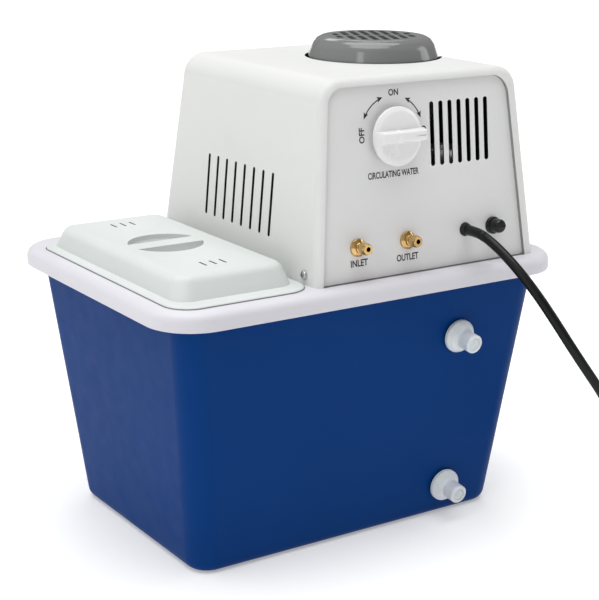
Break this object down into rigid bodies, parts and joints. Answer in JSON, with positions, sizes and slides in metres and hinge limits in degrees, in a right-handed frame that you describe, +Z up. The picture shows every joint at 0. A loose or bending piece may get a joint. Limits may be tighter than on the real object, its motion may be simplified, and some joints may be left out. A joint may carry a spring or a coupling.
{
  "type": "circulating-water vacuum pump",
  "caption": "Bench vacuum pump with a water tank, lift-off tank lid and a vented hood over the motor; hose nipples, circulation knob, fuse, mains cord, drain and overflow nozzles.",
  "frame": {"origin": "centre of the tank's flat underside, on the bench", "axes": "+Z up; +X along the long side, from the tank lid towards the hood; -Y towards the connection side with knob, nipples, fuse and cord; +Y towards the gauge side"},
  "size_m": [0.506, 0.4264, 0.4054],
  "materials": {
    "tank_blue": "satin moulded",
    "deck_plastic": "semi-gloss moulded",
    "lid_plastic": "fine texture",
    "hood_plastic": "fine texture",
    "cowl_plastic": "semi-gloss",
    "white_plastic": "semi-gloss",
    "nozzle_plastic": "smooth",
    "black_plastic": "satin",
    "gauge_black": "gloss",
    "rocker_red": "gloss",
    "lamp_green": "gloss",
    "pointer_black": "matt",
    "lens_glass": "clear",
    "rubber_black": "matt",
    "hose_rubber": "smooth",
    "brass": "turned",
    "steel": "bright",
    "motor_paint": "painted",
    "alu": "cast",
    "laminations": "laminated"
  },
  "bodies": {
    "chassis": {"tank": "tank_blue", "deck": "deck_plastic", "hood_shell": "hood_plastic", "rear_panel": "hood_plastic", "fan_cover": "cowl_plastic", "gauge_dial_a": "white_plastic", "gauge_dial_b": "white_plastic", "overflow_nozzle": "nozzle_plastic", "drain_nozzle": "nozzle_plastic", "nozzle_nuts": "nozzle_plastic", "pump_column": "nozzle_plastic", "pump_volute": "nozzle_plastic", "suction_strainer": "nozzle_plastic", "water_distributor": "nozzle_plastic", "ejectors": "nozzle_plastic", "terminal_block": "nozzle_plastic", "suction_nozzle_a": "nozzle_plastic", "suction_nozzle_b": "nozzle_plastic", "valve_body": "nozzle_plastic", "fuse_holder": "black_plastic", "switch_bezel": "black_plastic", "gauge_case_a": "gauge_black", "gauge_case_b": "gauge_black", "indicator_lamp": "lamp_green", "gauge_lens_a": "lens_glass", "gauge_lens_b": "lens_glass", "cord_bushing": "rubber_black", "power_cord": "rubber_black", "power_cord_coil": "rubber_black", "power_plug": "rubber_black", "nozzle_gaskets": "rubber_black", "vacuum_hoses": "hose_rubber", "water_hoses": "hose_rubber", "inlet_nipple": "brass", "outlet_nipple": "brass", "panel_nuts": "brass", "cross_screws": "steel", "hood_brackets": "steel", "motor_plate": "steel", "motor_bearings": "steel", "capacitor_bracket": "steel", "motor_housing": "motor_paint", "end_shields": "alu", "capacitor": "alu", "motor_stator": "laminations"},
    "lid": {"tank_lid": "lid_plastic"},
    "valve": {"circulation_knob": "white_plastic", "valve_stem": "steel", "valve_ball": "steel"},
    "fuse_slide": {"fuse_link": "steel"},
    "fuse_turn": {"fuse_cap": "black_plastic"},
    "rocker": {"switch_rocker": "rocker_red"},
    "pointer_a": {"gauge_pointer_a": "pointer_black"},
    "pointer_b": {"gauge_pointer_b": "pointer_black"},
    "rotor": {"motor_rotor": "laminations", "motor_shaft": "steel", "cooling_fan": "nozzle_plastic", "impeller": "nozzle_plastic"},
    "ball_a": {"check_ball_a": "steel"},
    "ball_b": {"check_ball_b": "steel"}
  },
  "joints": [
    {"name": "lid_lift", "type": "slide", "parent": "chassis", "child": "lid", "axis": [0, 0, 1], "range_m": [0, 0.1]},
    {"name": "valve_turn", "type": "hinge", "parent": "chassis", "child": "valve", "pos_m": [0.0245, -0.1165, 0.34061], "axis": [0, -0.9947, 0.1029], "range_deg": [0, 180]},
    {"name": "fuse_pull", "type": "slide", "parent": "chassis", "child": "fuse_slide", "axis": [0, -0.9947, 0.1029], "range_m": [0, 0.03]},
    {"name": "fuse_cap_turn", "type": "hinge", "parent": "fuse_slide", "child": "fuse_turn", "pos_m": [0.124, -0.12504, 0.25815], "axis": [0, -0.9947, 0.1029], "range_deg": [0, 90]},
    {"name": "rocker_tilt", "type": "hinge", "parent": "chassis", "child": "rocker", "pos_m": [0.057, 0.1125, 0.29056], "axis": [-1, 0, 0], "range_deg": [0, 20]},
    {"name": "rotor_spin", "type": "hinge", "parent": "chassis", "child": "rotor", "pos_m": [0.087, 0, 0], "axis": [0, 0, 1], "continuous": true},
    {"name": "pointer_a_sweep", "type": "hinge", "parent": "chassis", "child": "pointer_a", "pos_m": [0.019, 0.11039, 0.34067], "axis": [0, 0.9926, 0.1215], "range_deg": [0, 270], "stiffness_Nm_per_rad": 0.00002},
    {"name": "check_ball_a_lift", "type": "slide", "parent": "chassis", "child": "ball_a", "axis": [0, 0.9926, 0.1215], "range_m": [0, 0.004]},
    {"name": "pointer_b_sweep", "type": "hinge", "parent": "chassis", "child": "pointer_b", "pos_m": [0.095, 0.11039, 0.34067], "axis": [0, 0.9926, 0.1215], "range_deg": [0, 270], "stiffness_Nm_per_rad": 0.00002},
    {"name": "check_ball_b_lift", "type": "slide", "parent": "chassis", "child": "ball_b", "axis": [0, 0.9926, 0.1215], "range_m": [0, 0.004]}
  ]
}
